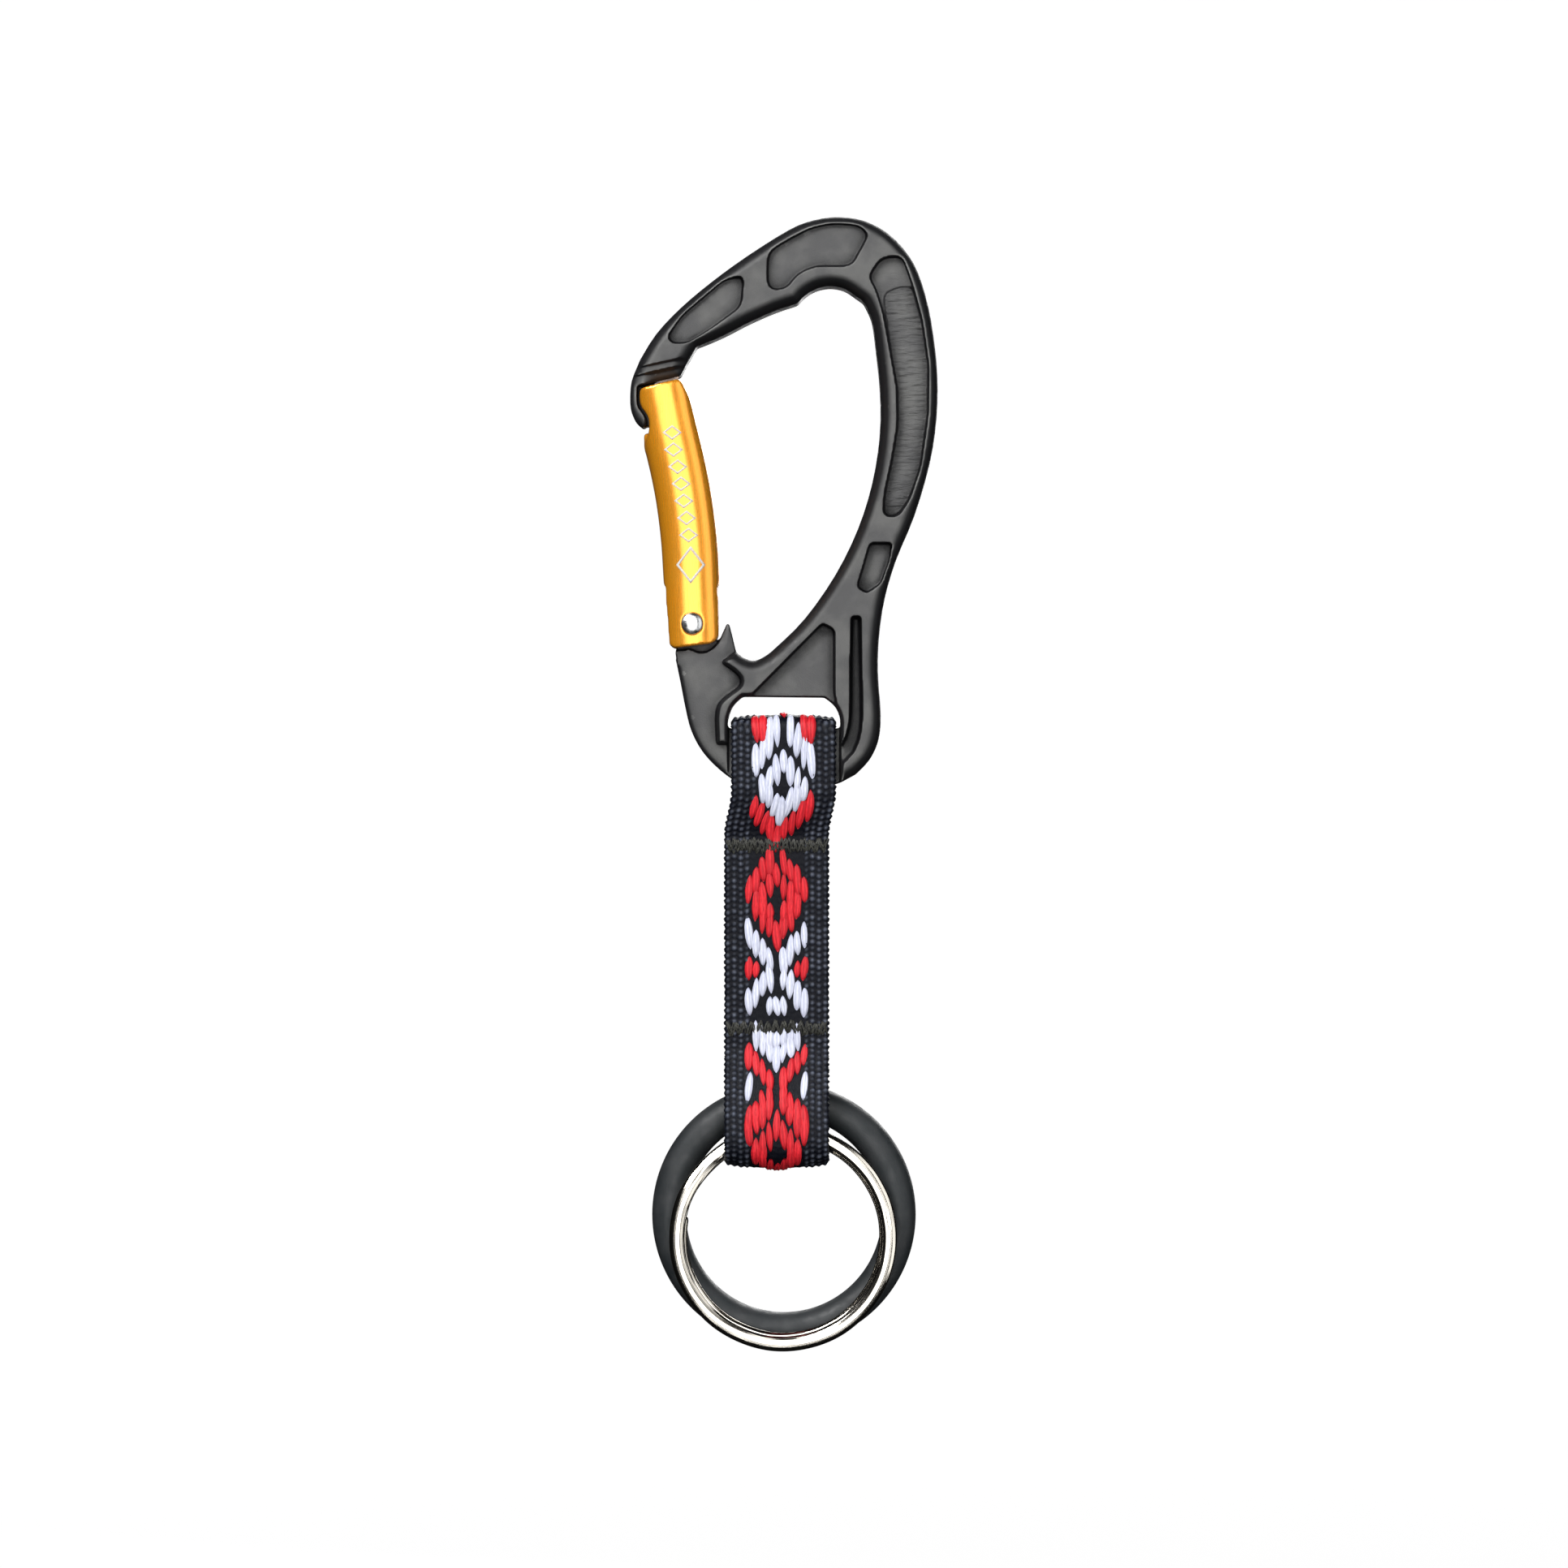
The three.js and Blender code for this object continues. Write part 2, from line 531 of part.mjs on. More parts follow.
// One flat wire wound twice round; it crosses from the front turn to the back turn in a short bend.
const CROSSING_END = 0.8 * Math.PI;
const CROSSING_SPAN = 0.2 * Math.PI;
const END_SPAN = 0.03 * Math.PI;

class SplitRingPath extends THREE.Curve {
  getPoint(t, target = new THREE.Vector3()) {
    const mean = (SPLIT_RING.inner + SPLIT_RING.outer) / 2;
    const travel = 4 * Math.PI - CROSSING_SPAN - 2 * END_SPAN;
    const turned = travel * (t - 0.5);
    const across = THREE.MathUtils.smoothstep(turned, -CROSSING_SPAN / 2, CROSSING_SPAN / 2);
    const angle = CROSSING_END - turned;
    const lift = SPLIT_RING.lift * (2 * across - 1);
    return target.set(mean * Math.cos(angle), lift, mean * Math.sin(angle));
  }
}

function splitRing() {
  const path = new SplitRingPath();
  const radial = SPLIT_RING.outer - SPLIT_RING.inner;
  const steps = 92;
  const corners = [[1, 1], [-1, 1], [-1, -1], [1, -1]];
  const positions = [];
  for (let i = 0; i <= steps; i += 1) {
    const p = path.getPoint(i / steps);
    const outward = new THREE.Vector3(p.x, 0, p.z).normalize();
    for (const [across, along] of corners) {
      const corner = p.clone().addScaledVector(outward, across * radial / 2);
      corner.y += along * SPLIT_RING.wire / 2;
      positions.push(corner.x, corner.y, corner.z);
    }
  }
  const faces = [];
  const quad = (a, b, c, d) => faces.push(a, b, c, a, c, d);
  for (let i = 0; i < steps; i += 1) {
    for (let k = 0; k < 4; k += 1) {
      const next = (k + 1) % 4;
      quad(4 * i + k, 4 * i + 4 + k, 4 * i + 4 + next, 4 * i + next);
    }
  }
  const last = 4 * steps;
  quad(0, 1, 2, 3);
  quad(last + 3, last + 2, last + 1, last);
  const geometry = new THREE.BufferGeometry();
  geometry.setAttribute('position', new THREE.Float32BufferAttribute(positions, 3));
  geometry.setIndex(faces);
  geometry.computeVertexNormals();
  return geometry.translate(SPLIT_RING.x, SPLIT_RING.y, SPLIT_RING.z);
}

// ---- assembly -----------------------------------------------------------------------------------

addPiece('carabiner_body', carabinerBody(), blackAluminium);
addPiece('gate', gate(), goldAluminium);
addPiece('gate_rivet', gateRivet(), steel);
addPiece('gate_plunger', gatePlunger(), steel);
addPiece('gate_spring', gateSpring(), steel);
addPiece('sling_top_loop', slingTopLoop(), webbing);
addPiece('sling_front_ply', slingPly(-1), webbing);
addPiece('sling_back_ply', slingPly(1), webbing);
addPiece('sling_ring_loop', slingRingLoop(), webbing);
addPiece('upper_bar_tack', barTack(UPPER_TACK), thread);
addPiece('lower_bar_tack', barTack(LOWER_TACK), thread);
addPiece('rubber_ring', rubberRing(), rubber);
addPiece('split_ring', splitRing(), nickel);

export default object;
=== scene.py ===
# Quickdraw key holder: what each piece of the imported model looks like, a pale studio and a camera in front.
# Metres, in the CAD frame: +X right, +Y away from the viewer, +Z up, origin at the carabiner's hang point.
import math
import random

import bmesh
import bpy
import numpy as np
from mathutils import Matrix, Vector
from mathutils.bvhtree import BVHTree
from mathutils.kdtree import KDTree


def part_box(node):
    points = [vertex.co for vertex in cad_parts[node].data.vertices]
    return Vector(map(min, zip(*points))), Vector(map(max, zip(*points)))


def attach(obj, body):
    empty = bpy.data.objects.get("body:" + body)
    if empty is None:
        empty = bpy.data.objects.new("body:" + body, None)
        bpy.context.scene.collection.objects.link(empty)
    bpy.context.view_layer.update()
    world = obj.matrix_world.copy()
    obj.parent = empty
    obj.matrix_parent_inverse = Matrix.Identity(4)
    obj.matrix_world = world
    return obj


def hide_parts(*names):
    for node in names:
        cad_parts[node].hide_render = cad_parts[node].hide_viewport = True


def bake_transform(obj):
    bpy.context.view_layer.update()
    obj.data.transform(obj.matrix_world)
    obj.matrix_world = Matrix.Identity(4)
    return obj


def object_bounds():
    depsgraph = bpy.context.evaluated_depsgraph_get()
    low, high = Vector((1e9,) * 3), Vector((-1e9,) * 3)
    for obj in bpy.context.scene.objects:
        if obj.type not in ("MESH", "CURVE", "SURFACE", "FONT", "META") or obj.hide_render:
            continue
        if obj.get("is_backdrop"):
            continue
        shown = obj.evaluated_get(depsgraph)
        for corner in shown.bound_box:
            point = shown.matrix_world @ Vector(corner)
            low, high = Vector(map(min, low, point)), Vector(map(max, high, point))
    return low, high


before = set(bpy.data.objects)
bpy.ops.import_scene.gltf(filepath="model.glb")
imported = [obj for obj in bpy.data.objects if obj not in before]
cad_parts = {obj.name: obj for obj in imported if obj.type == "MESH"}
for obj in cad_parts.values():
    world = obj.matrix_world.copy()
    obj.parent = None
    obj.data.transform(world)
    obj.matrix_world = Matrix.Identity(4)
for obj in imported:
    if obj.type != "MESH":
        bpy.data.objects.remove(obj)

MM = 0.001
CAD_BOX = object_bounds()
scene = bpy.context.scene


BOXES = {node: [np.array(corner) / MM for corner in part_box(node)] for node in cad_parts}


def box_mm(node):
    """Lowest and highest corner of a CAD node, in millimetres."""
    return BOXES[node]


# ---- camera, light and stage --------------------------------------------------------------------

FRAME_WIDTH = 193.2 * MM      # what the square picture spans at the carabiner's middle plane
LENS = 100
SENSOR = 36


def make_camera():
    data = bpy.data.cameras.new("camera")
    data.lens = LENS
    data.sensor_width = SENSOR
    camera = bpy.data.objects.new("camera", data)
    scene.collection.objects.link(camera)
    middle = (CAD_BOX[0] + CAD_BOX[1]) / 2
    camera.location = (middle.x, -FRAME_WIDTH * LENS / SENSOR, middle.z)
    camera.rotation_euler = (math.pi / 2, 0, 0)
    scene.camera = camera


SKY = 0.42
SKY_SIDES = 0.07


def make_world():
    """Brighter in front and behind than at the sides, above and below, as inside a deep light tent."""
    world = bpy.data.worlds.new("studio")
    scene.world = world
    world.use_nodes = True
    tree = world.node_tree
    background = tree.nodes["Background"]
    direction = tree.nodes.new("ShaderNodeTexCoord").outputs["Generated"]
    parts = tree.nodes.new("ShaderNodeSeparateXYZ")
    tree.links.new(direction, parts.inputs[0])
    depth = arithmetic(tree, "ABSOLUTE", parts.outputs["Y"], 0.0)
    tree.links.new(map_range(tree, depth, 0.3, 0.9, SKY_SIDES, SKY), background.inputs["Strength"])


def map_range(tree, source, low, high, to_low, to_high):
    node = tree.nodes.new("ShaderNodeMapRange")
    node.interpolation_type = "SMOOTHSTEP"
    tree.links.new(source, node.inputs["Value"])
    node.inputs["From Min"].default_value = low
    node.inputs["From Max"].default_value = high
    node.inputs["To Min"].default_value = to_low
    node.inputs["To Max"].default_value = to_high
    return node.outputs["Result"]


def area_light(name, place, aim, size, power):
    data = bpy.data.lights.new(name, "AREA")
    data.shape = "RECTANGLE"
    data.size, data.size_y = size
    data.energy = power
    light = bpy.data.objects.new(name, data)
    scene.collection.objects.link(light)
    light.location = place
    light.rotation_euler = (Vector(aim) - Vector(place)).to_track_quat("-Z", "Y").to_euler()
    light.visible_camera = False


def make_lights():
    """A key from the upper left, a broad soft box in front, a weak fill at the right and a box behind."""
    middle = (CAD_BOX[0] + CAD_BOX[1]) / 2
    area_light("key_box", (-0.36, -0.48, 0.5), middle, (0.3, 0.3), 8.0)
    area_light("front_box", (-0.01, -0.75, 0.0), middle, (0.42, 0.9), 4.8)
    area_light("right_fill", (0.62, -0.45, 0.0), middle, (0.5, 0.9), 2.4)
    area_light("rear_box", (0.16, 0.7, 0.22), middle, (0.5, 0.6), 6.0)


def make_stage():
    """A white bowl seen only by the camera: a round floor well below the object, swept up into a wall."""
    floor = CAD_BOX[0].z - 0.2
    bend_start, radius, top, sides = 1.0, 0.6, 2.0, 64
    arc = [(bend_start + radius * math.sin(a), floor + radius * (1 - math.cos(a)))
           for a in np.linspace(0, math.pi / 2, 17)]
    profile = [(0.001, floor), *arc, (bend_start + radius, top), (0.001, top)]
    angles = np.linspace(0, 2 * math.pi, sides, endpoint=False)
    rings = [[(r * math.cos(a), r * math.sin(a), z) for a in angles] for r, z in profile]
    bowl = mesh_object("stage_bowl", *tube(rings), paper())
    for flag in ("visible_glossy", "visible_diffuse", "visible_shadow"):
        setattr(bowl, flag, False)
    bowl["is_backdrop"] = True


# ---- mesh helpers -------------------------------------------------------------------------------

def smooth_step(t):
    t = min(max(t, 0.0), 1.0)
    return t * t * (3 - 2 * t)


def mesh_object(name, points, faces, *looks):
    mesh = bpy.data.meshes.new(name)
    mesh.from_pydata([tuple(p) for p in points], [], faces)
    mesh.update()
    mesh.polygons.foreach_set("use_smooth", [True] * len(mesh.polygons))
    for look in looks:
        mesh.materials.append(look)
    obj = bpy.data.objects.new(name, mesh)
    scene.collection.objects.link(obj)
    return obj


def tube(rings, closed=False):
    """Points and quads of a skin through equal rings, closed round each ring and capped at open ends."""
    rings = np.asarray(rings, float)
    count, sides = rings.shape[:2]
    faces = []
    for i in range(count if closed else count - 1):
        here, there = i * sides, (i + 1) % count * sides
        for k in range(sides):
            after = (k + 1) % sides
            faces.append((here + k, here + after, there + after, there + k))
    if not closed:
        faces.append(tuple(reversed(range(sides))))
        faces.append(tuple(range((count - 1) * sides, count * sides)))
    return rings.reshape(-1, 3), faces


def lathe(profile, sides, place):
    """A (y, radius) profile turned about a line along Y through the place."""
    angles = np.linspace(0, 2 * math.pi, sides, endpoint=False)
    rings = [[(place[0] + r * math.cos(a), y, place[2] + r * math.sin(a)) for a in angles]
             for y, r in profile]
    return tube(rings)


class Parts:
    """Gathers many small closed pieces into one mesh, each with its own material number."""

    def __init__(self):
        self.points, self.faces, self.numbers = [], [], []

    def add(self, points, faces, number=0):
        start = len(self.points)
        self.points.extend(points)
        self.faces.extend(tuple(start + v for v in face) for face in faces)
        self.numbers.extend([number] * len(faces))

    def build(self, name, *looks):
        obj = mesh_object(name, np.asarray(self.points) * MM, self.faces, *looks)
        obj.data.polygons.foreach_set("material_index", self.numbers)
        return obj


def softened(node, name, look, voxel, rounds, shoulder=None):
    """A copy of a CAD node whose edges are rounded over, as forging and tumbling leave them.

    The voxel is in millimetres; the shoulder is the reach and drop for round_shoulders."""
    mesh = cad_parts[node].data.copy()
    weld = bmesh.new()
    weld.from_mesh(mesh)
    bmesh.ops.remove_doubles(weld, verts=weld.verts, dist=0.002 * MM)
    weld.to_mesh(mesh)
    weld.free()
    rough = bpy.data.objects.new(name + "_rough", mesh)
    scene.collection.objects.link(rough)
    remesh = rough.modifiers.new("remesh", "REMESH")
    remesh.mode = "VOXEL"
    remesh.voxel_size = voxel * MM
    relax = rough.modifiers.new("relax", "SMOOTH")
    relax.factor = 0.5
    relax.iterations = rounds
    graph = bpy.context.evaluated_depsgraph_get()
    final = bpy.data.meshes.new_from_object(rough.evaluated_get(graph), depsgraph=graph)
    bpy.data.objects.remove(rough)
    final.name = name
    final.materials.clear()
    final.materials.append(look)
    final.polygons.foreach_set("use_smooth", [True] * len(final.polygons))
    if shoulder:
        round_shoulders(final, *shoulder)
    obj = bpy.data.objects.new(name, final)
    scene.collection.objects.link(obj)
    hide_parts(node)
    return obj


def round_shoulders(mesh, reach, drop):
    """Lets both faces fall away towards the outside and the opening, over the reach and by up to the drop."""
    count = len(mesh.vertices)
    points, normals = np.empty(3 * count, np.float32), np.empty(3 * count, np.float32)
    mesh.vertices.foreach_get("co", points)
    mesh.vertices.foreach_get("normal", normals)
    points, normals = points.reshape(-1, 3) / MM, normals.reshape(-1, 3)
    low, high = box_mm("sling_top_loop")
    beside, above = 1.5, 3.2
    in_slot = (points[:, 0] > low[0] - beside) & (points[:, 0] < high[0] + beside)
    in_slot &= (points[:, 2] > low[2]) & (points[:, 2] < high[2] + above)
    core, face = 1.0, box_mm("carabiner_body")[1][1]
    upright = np.abs(normals[:, 1]) < 0.25
    walls = np.flatnonzero((np.abs(points[:, 1]) < core) & upright & ~in_slot)
    tree = KDTree(len(walls))
    for i in walls:
        tree.insert((points[i, 0], 0.0, points[i, 2]), int(i))
    tree.balance()
    for i in np.flatnonzero(np.abs(points[:, 1]) > core):
        distance = tree.find((points[i, 0], 0.0, points[i, 2]))[2]
        share = smooth_step((abs(points[i, 1]) - core) / (face - core))
        fall = share * drop * max(0.0, 1 - distance / reach) ** 1.6
        points[i, 1] -= math.copysign(fall, points[i, 1])
    mesh.vertices.foreach_set("co", (points * MM).ravel())
    mesh.update()


# ---- materials ----------------------------------------------------------------------------------

def material(name, colour, roughness, metallic=0.0, **sockets):
    look = bpy.data.materials.new(name)
    look.use_nodes = True
    shader = look.node_tree.nodes["Principled BSDF"]
    shader.inputs["Base Color"].default_value = (*colour, 1)
    shader.inputs["Roughness"].default_value = roughness
    shader.inputs["Metallic"].default_value = metallic
    for socket, value in sockets.items():
        shader.inputs[socket.replace("_", " ")].default_value = value
    return look, look.node_tree, shader


def place_node(tree, stretch=(1, 1, 1)):
    """Object coordinates in millimetres, stretched."""
    coordinates = tree.nodes.new("ShaderNodeTexCoord")
    mapping = tree.nodes.new("ShaderNodeMapping")
    mapping.inputs["Scale"].default_value = [s / MM for s in stretch]
    tree.links.new(coordinates.outputs["Object"], mapping.inputs["Vector"])
    return mapping.outputs["Vector"]


def noise(tree, scale, detail=3.0, stretch=(1, 1, 1)):
    node = tree.nodes.new("ShaderNodeTexNoise")
    tree.links.new(place_node(tree, stretch), node.inputs["Vector"])
    node.inputs["Scale"].default_value = scale
    node.inputs["Detail"].default_value = detail
    return node.outputs["Fac"]


def blend_colours(tree, factor, low, high):
    """A mix of two colours, each a plain colour or a socket."""
    node = tree.nodes.new("ShaderNodeMix")
    node.data_type = "RGBA"
    tree.links.new(factor, node.inputs["Factor"])
    colour_sockets = [socket for socket in node.inputs if socket.type == "RGBA"]
    for socket, value in zip(colour_sockets, (low, high)):
        if isinstance(value, tuple):
            socket.default_value = (*value, 1)
        else:
            tree.links.new(value, socket)
    return next(socket for socket in node.outputs if socket.type == "RGBA")


def arithmetic(tree, operation, first, second):
    node = tree.nodes.new("ShaderNodeMath")
    node.operation = operation
    for socket, value in zip(node.inputs, (first, second)):
        if isinstance(value, (int, float)):
            socket.default_value = value
        else:
            tree.links.new(value, socket)
    return node.outputs[0]


def bump(tree, shader, height, depth):
    """Depth in millimetres."""
    node = tree.nodes.new("ShaderNodeBump")
    node.inputs["Distance"].default_value = depth * MM
    tree.links.new(height, node.inputs["Height"])
    tree.links.new(node.outputs["Normal"], shader.inputs["Normal"])


def paper():
    look, _, shader = material("stage_paper", (0.3, 0.3, 0.3), 0.9)
    shader.inputs["Emission Color"].default_value = (1, 1, 1, 1)
    shader.inputs["Emission Strength"].default_value = 0.94
    return look


def black_anodised():
    """Satin black over a forged skin: cloudy, finely pitted, painted shade at its sides and in its corners,
    painted highlight on its ridges.
    """
    look, tree, shader = material("black_anodised", (0.02, 0.02, 0.02), 0.42, Specular_IOR_Level=0.16)
    cloud = noise(tree, 0.25, 4.0)
    front = facing_front(tree)
    cloudy = map_range(tree, cloud, 0.35, 0.65, 0.0, 1.0)
    face = blend_colours(tree, cloudy, (0.068, 0.068, 0.069), (0.096, 0.096, 0.094))
    # Painted shade: the base colour falls to near black where the surface turns away to the sides.
    ground = blend_colours(tree, front, (0.010, 0.010, 0.011), face)
    edge = tree.nodes.new("ShaderNodeNewGeometry").outputs["Pointiness"]
    # Painted highlight: convex ridges that face the front are painted pale, patchy with the cloud noise.
    ridge_highlight = arithmetic(tree, "MULTIPLY", map_range(tree, edge, 0.51, 0.56, 0.0, 1.0), front)
    mottled_ridge_highlight = arithmetic(tree, "MULTIPLY", ridge_highlight, map_range(tree, cloud, 0.3, 0.7, 0.3, 0.9))
    colour = blend_colours(tree, mottled_ridge_highlight, ground, (0.17, 0.17, 0.165))
    # Painted shade: the colour falls to near black deep in the piece's own corners.
    shaded = blend_colours(tree, corner_shade(tree, 1.7), (0.002, 0.002, 0.0025), colour)
    tree.links.new(shaded, shader.inputs["Base Color"])
    tree.links.new(map_range(tree, noise(tree, 1.4, 5.0), 0.3, 0.7, 0.36, 0.5), shader.inputs["Roughness"])
    pits = arithmetic(tree, "MULTIPLY", noise(tree, 5.0, 4.0), 0.2)
    ripples = arithmetic(tree, "MULTIPLY", noise(tree, 1.0, 2.0, (0.45, 0.3, 1.9)), spine_floor(tree))
    relief = arithmetic(tree, "MULTIPLY", arithmetic(tree, "ADD", pits, ripples), front)
    bump(tree, shader, relief, 0.16)
    return look


def facing_front(tree):
    """1 where the surface faces the front or the back, 0 where it has turned away to the sides."""
    parts = tree.nodes.new("ShaderNodeSeparateXYZ")
    tree.links.new(tree.nodes.new("ShaderNodeTexCoord").outputs["Normal"], parts.inputs[0])
    return map_range(tree, arithmetic(tree, "ABSOLUTE", parts.outputs["Y"], 0.0), 0.80, 0.985, 0.0, 1.0)


def corner_shade(tree, reach):
    """0 deep in the piece's own corners and 1 in the open, over the reach in millimetres."""
    node = tree.nodes.new("ShaderNodeAmbientOcclusion")
    node.samples = 8
    node.only_local = True
    node.inputs["Distance"].default_value = reach * MM
    return map_range(tree, node.outputs["AO"], 0.60, 1.0, 0.0, 1.0)


def spine_floor(tree):
    """How strongly the forging ripples show: full at the depth of the long spine pocket, 0 elsewhere."""
    parts = tree.nodes.new("ShaderNodeSeparateXYZ")
    tree.links.new(place_node(tree), parts.inputs[0])
    depth = arithmetic(tree, "ABSOLUTE", parts.outputs["Y"], 0.0)
    sunk = map_range(tree, depth, 2.3, 2.6, 2.4, 0.0)
    right = map_range(tree, parts.outputs["X"], 4.5, 5.5, 0.0, 1.0)
    upper = map_range(tree, parts.outputs["Z"], -31.0, -29.0, 0.0, 1.0)
    return arithmetic(tree, "MULTIPLY", sunk, arithmetic(tree, "MULTIPLY", right, upper))


def gold_anodised():
    """Orange-gold anodised aluminium, drawn lengthwise and softly polished."""
    look, tree, shader = material("gold_anodised", (0.93, 0.36, 0.015), 0.27, 0.6,
                                  Coat_Weight=0.8, Coat_Roughness=0.28)
    tint = blend_colours(tree, noise(tree, 0.4, 3.0), (0.93, 0.33, 0.01), (0.93, 0.38, 0.018))
    tree.links.new(tint, shader.inputs["Base Color"])
    grain = noise(tree, 1.6, 3.0, (3.0, 3.0, 0.2))
    tree.links.new(map_range(tree, grain, 0.3, 0.7, 0.24, 0.30), shader.inputs["Roughness"])
    bump(tree, shader, grain, 0.0006)
    return look


def etched():
    """Where the anodising is burnt off, pale and matt."""
    look, tree, shader = material("etched_mark", (0.50, 0.48, 0.45), 0.6)
    bump(tree, shader, noise(tree, 12.0, 3.0), 0.01)
    return look


def metal(name, colour, roughness, grain_depth, centre=None):
    """Plated or polished steel: finely scratched, or drawn in fine lines round a centre."""
    look, tree, shader = material(name, colour, roughness, 1.0)
    scratches = rings_round(tree, centre) if centre is not None else noise(tree, 1.5, 2.0)
    dulled = map_range(tree, scratches, 0.3, 0.7, roughness * 0.7, roughness * 1.5)
    tree.links.new(dulled, shader.inputs["Roughness"])
    bump(tree, shader, scratches, grain_depth)
    return look


def rings_round(tree, centre):
    """Fine lines round a centre in the XZ plane, from a one-dimensional noise of the distance to it."""
    flat = tree.nodes.new("ShaderNodeVectorMath")
    flat.operation = "MULTIPLY"
    tree.links.new(place_node(tree), flat.inputs[0])
    flat.inputs[1].default_value = (1, 0, 1)
    distance = tree.nodes.new("ShaderNodeVectorMath")
    distance.operation = "DISTANCE"
    tree.links.new(flat.outputs[0], distance.inputs[0])
    distance.inputs[1].default_value = (centre[0], 0, centre[2])
    wander = arithmetic(tree, "MULTIPLY", noise(tree, 0.2, 1.0), 0.35)
    lines = tree.nodes.new("ShaderNodeTexNoise")
    lines.noise_dimensions = "1D"
    tree.links.new(arithmetic(tree, "ADD", distance.outputs["Value"], wander), lines.inputs["W"])
    lines.inputs["Scale"].default_value = 4.0
    lines.inputs["Detail"].default_value = 2.0
    return lines.outputs["Fac"]


# Name of the point attribute that carries painted light and shade on the woven pieces.
PAINTED_LIGHT = "crown"


def yarn(name, colour, shade, roughness, filaments, gloss=0.35):
    """Multifilament yarn with fine lengthwise lines, blended from its painted-shade colour to its lit colour
    by each point's stored painted light.
    """
    look, tree, shader = material(name, colour, roughness, Specular_IOR_Level=gloss)
    crown = tree.nodes.new("ShaderNodeAttribute")
    crown.attribute_name = PAINTED_LIGHT
    streak = map_range(tree, noise(tree, 2.2, 3.0, (2.4, 1.0, 0.6)), 0.3, 0.7, 0.55, 1.0)
    # Painted light: the lit colour shows where the stored painted light is high, the painted-shade colour
    # elsewhere.
    lit = arithmetic(tree, "MULTIPLY", crown.outputs["Fac"], streak)
    tree.links.new(blend_colours(tree, lit, shade, colour), shader.inputs["Base Color"])
    bump(tree, shader, noise(tree, 3.0, 3.0, (4.0, 1.0, filaments)), 0.06)
    return look


def set_painted_light(obj, values):
    """Stores how much painted light each point of a woven piece gets, from 0 for painted shade to 1 for a
    painted highlight.
    """
    attribute = obj.data.attributes.new(PAINTED_LIGHT, "FLOAT", "POINT")
    attribute.data.foreach_set("value", np.asarray(values, np.float32))


def ring_rubber():
    """Matt moulded rubber with a dusty bloom."""
    look, tree, shader = material("ring_rubber", (0.02, 0.022, 0.024), 0.55, Specular_IOR_Level=0.4)
    bloom = map_range(tree, noise(tree, 0.3, 5.0), 0.4, 0.7, 0.0, 1.0)
    dusty = blend_colours(tree, bloom, (0.014, 0.017, 0.019), (0.024, 0.026, 0.028))
    tree.links.new(dusty, shader.inputs["Base Color"])
    tree.links.new(map_range(tree, noise(tree, 0.8, 4.0), 0.3, 0.7, 0.48, 0.64), shader.inputs["Roughness"])
    bump(tree, shader, noise(tree, 6.0, 4.0), 0.012)
    return look


# ---- carabiner ----------------------------------------------------------------------------------

def make_carabiner():
    body = softened("carabiner_body", "forged_body", black_anodised(), voxel=0.18, rounds=4,
                    shoulder=(1.5, 1.0))
    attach(body, "carabiner")


def make_gate():
    shell = softened("gate", "gate_shell", gold_anodised(), voxel=0.15, rounds=30)
    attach(shell, "gate")
    make_etching(shell)


def make_etching(shell):
    """A plain chain of lozenges down the gate's front, in a thin line, with a larger one at its foot."""
    surface = BVHTree.FromObject(shell, bpy.context.evaluated_depsgraph_get())
    low, high = box_mm("gate")
    count, line = 7, 0.36
    top, bottom = high[2] - 5.6, low[2] + 12.8
    small = (1.2, (top - bottom) / count / 2 * 0.88)
    lozenges = [(top + (bottom - top) * (i + 0.5) / count, small) for i in range(count)]
    lozenges.append((bottom - 2.6, (1.8, 2.3)))
    marks = Parts()
    for z, (half_width, half_height) in lozenges:
        centre = gate_middle(surface, z, low[0], high[0])
        add_lozenge(marks, surface, (centre, z), half_width, half_height, line)
    obj = marks.build("gate_etching", etched())
    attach(obj, "gate")


def front_of(surface, x, z):
    """Where a line along +Y first meets the surface, in millimetres, or nothing."""
    hit = surface.ray_cast(Vector((x, -20, z)) * MM, Vector((0, 1, 0)))[0]
    return None if hit is None else hit.y / MM


def gate_middle(surface, z, low, high):
    inside = [x for x in np.linspace(low, high, 60) if front_of(surface, x, z) is not None]
    return (inside[0] + inside[-1]) / 2


def add_lozenge(marks, surface, centre, half_width, half_height, line):
    corners = [(0, half_height), (half_width, 0), (0, -half_height), (-half_width, 0)]
    steps = 6
    outline = []
    for (x0, z0), (x1, z1) in zip(corners, corners[1:] + corners[:1]):
        outline += [(x0 + (x1 - x0) * i / steps, z0 + (z1 - z0) * i / steps) for i in range(steps)]
    proud = 0.035
    inner = 1 - line / half_width
    points = []
    for x, z in outline:
        for scale in (inner, 1.0):
            px, pz = centre[0] + x * scale, centre[1] + z * scale
            py = front_of(surface, px, pz)
            points += [(px, py - proud, pz), (px, py + 0.05, pz)]
    count = len(outline)
    faces = []
    for i in range(count):
        here, there = 4 * i, 4 * ((i + 1) % count)
        for k, after in ((0, 2), (2, 3), (3, 1), (1, 0)):
            faces.append((here + k, there + k, there + after, here + after))
    marks.add(points, faces)


